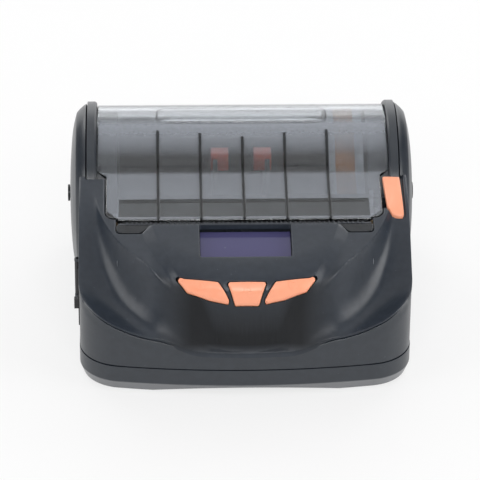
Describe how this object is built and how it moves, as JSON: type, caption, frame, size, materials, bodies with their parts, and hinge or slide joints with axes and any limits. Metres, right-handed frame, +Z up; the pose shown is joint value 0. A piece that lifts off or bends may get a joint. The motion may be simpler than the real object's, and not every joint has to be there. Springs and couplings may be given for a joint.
{
  "type": "portable receipt printer",
  "caption": "Portable thermal receipt and label printer with smoke cover over the roll well, display, orange keys and release lever",
  "frame": {"origin": "centre of the footprint on the table", "axes": "+Z up, front (paper exit and keys) towards -Y, +X to the right seen from the front"},
  "size_m": [0.12, 0.116, 0.0652],
  "materials": {
    "body_black": "fine spark-textured black housing",
    "smoke_cover": "smoke-tinted clear plastic, frosted inside",
    "dark_inner": "smooth black inner plastic",
    "orange": "satin orange plastic",
    "lens": "violet-grey display window, gloss",
    "module_black": "black display frame",
    "steel": "ground steel",
    "spring_steel": "spring wire",
    "zinc_sheet": "zinc-plated sheet",
    "blade_steel": "stamped stainless blade",
    "platen_rubber": "ground black rubber",
    "foot_rubber": "black rubber",
    "port_rubber": "soft black rubber flap",
    "gear_white": "acetal, off-white",
    "motor_steel": "drawn can",
    "brass_gear": "turned brass",
    "bush_brass": "sintered bronze bush",
    "head_ceramic": "glazed thermal line head",
    "sink_alu": "extruded aluminium",
    "pcb_green": "solder mask",
    "switch_grey": "tact switch",
    "battery_shell": "black battery case",
    "flex_amber": "amber polyimide film",
    "tape_grey": "light grey foam tape",
    "socket_steel": "plated socket shell",
    "screw_black": "black zinc screws"
  },
  "bodies": {
    "chassis": {"base_shell": "body_black", "top_shell": "body_black", "rear_housing": "body_black", "right_cheek": "body_black", "left_cheek": "body_black", "right_side_cap": "body_black", "left_side_cap": "body_black", "strap_studs": "dark_inner", "idler_pin": "steel", "feed_motor": "motor_steel", "mech_frame": "zinc_sheet", "print_head": "head_ceramic", "head_sink": "sink_alu", "head_springs": "spring_steel", "tear_blade": "blade_steel", "tear_bezel": "dark_inner", "paper_well": "dark_inner", "paper_chute": "dark_inner", "hinge_pin": "steel", "hinge_springs": "spring_steel", "lever_pin": "steel", "latch_pin": "steel", "display_lens": "lens", "display_module": "module_black", "key_board": "pcb_green", "key_switches": "switch_grey", "main_board": "pcb_green", "battery_pack": "battery_shell", "rubber_feet": "foot_rubber", "case_screws": "screw_black", "port_pin": "steel", "usb_socket": "socket_steel", "dc_socket": "dark_inner", "io_board": "pcb_green", "guide_rail": "steel"},
    "cover": {"cover_window": "smoke_cover", "hinge_bar": "dark_inner", "platen_holder": "dark_inner", "platen_bushes": "bush_brass", "sensor_flex": "flex_amber", "flex_tape": "tape_grey"},
    "platen": {"platen_shaft": "steel", "platen_roller": "platen_rubber", "platen_gear": "gear_white"},
    "idler": {"idler_gear": "gear_white"},
    "motor_rotor": {"motor_pinion": "brass_gear", "motor_shaft": "steel"},
    "lever": {"release_lever": "orange"},
    "latch": {"latch_hook": "zinc_sheet"},
    "feed_key": {"feed_button": "orange"},
    "menu_key": {"menu_button": "orange"},
    "power_key": {"power_button": "orange"},
    "left_guide": {"left_paper_guide": "dark_inner", "left_guide_tab": "orange"},
    "right_guide": {"right_paper_guide": "dark_inner", "right_guide_tab": "orange"},
    "port_flap": {"port_cover": "port_rubber"},
    "battery_catch": {"battery_latch": "dark_inner"}
  },
  "joints": [
    {"name": "cover_hinge", "type": "hinge", "parent": "chassis", "child": "cover", "pos_m": [0, 0.0518, 0.0462], "axis": [-1, 0, 0], "range_deg": [0, 95]},
    {"name": "platen_spin", "type": "hinge", "parent": "cover", "child": "platen", "pos_m": [0, -0.019, 0.0408], "axis": [1, 0, 0], "continuous": true},
    {"name": "idler_spin", "type": "hinge", "parent": "chassis", "child": "idler", "pos_m": [0, -0.02578, 0.03146], "axis": [1, 0, 0], "continuous": true},
    {"name": "motor_spin", "type": "hinge", "parent": "chassis", "child": "motor_rotor", "pos_m": [0, -0.02797, 0.02115], "axis": [1, 0, 0], "continuous": true},
    {"name": "lever_press", "type": "hinge", "parent": "chassis", "child": "lever", "pos_m": [0, -0.0098, 0.048], "axis": [1, 0, 0], "range_deg": [0, 6], "stiffness_Nm_per_rad": 0.05, "springref_deg": -5.73},
    {"name": "latch_turn", "type": "hinge", "parent": "chassis", "child": "latch", "pos_m": [0, -0.0136, 0.0336], "axis": [-1, 0, 0], "range_deg": [0, 20]},
    {"name": "feed_press", "type": "slide", "parent": "chassis", "child": "feed_key", "axis": [0, 0.5736, -0.8192], "range_m": [0, 0.0008], "stiffness_N_per_m": 600, "springref_m": -0.0004},
    {"name": "menu_press", "type": "slide", "parent": "chassis", "child": "menu_key", "axis": [0, 0.5736, -0.8192], "range_m": [0, 0.0008], "stiffness_N_per_m": 600, "springref_m": -0.0004},
    {"name": "power_press", "type": "slide", "parent": "chassis", "child": "power_key", "axis": [0, 0.5736, -0.8192], "range_m": [0, 0.0008], "stiffness_N_per_m": 600, "springref_m": -0.0004},
    {"name": "right_guide_slide", "type": "slide", "parent": "chassis", "child": "right_guide", "axis": [1, 0, 0], "range_m": [0, 0.032], "stiffness_N_per_m": 20, "springref_m": -0.006},
    {"name": "left_guide_slide", "type": "slide", "parent": "chassis", "child": "left_guide", "axis": [-1, 0, 0], "range_m": [0, 0.032]},
    {"name": "port_flap_turn", "type": "hinge", "parent": "chassis", "child": "port_flap", "pos_m": [-0.0564, -0.014, 0], "axis": [0, 0, -1], "range_deg": [0, 100], "stiffness_Nm_per_rad": 0.002, "springref_deg": -11.46},
    {"name": "battery_catch_slide", "type": "slide", "parent": "chassis", "child": "battery_catch", "axis": [0, 1, 0], "range_m": [0, 0.003], "stiffness_N_per_m": 100, "springref_m": -0.001}
  ],
  "couplings": [
    {"joint": "idler_spin", "follows": "platen_spin", "ratio": -0.425},
    {"joint": "motor_spin", "follows": "platen_spin", "ratio": 1.4167},
    {"joint": "latch_turn", "follows": "lever_press", "ratio": 3.3333},
    {"joint": "left_guide_slide", "follows": "right_guide_slide", "ratio": 1}
  ]
}
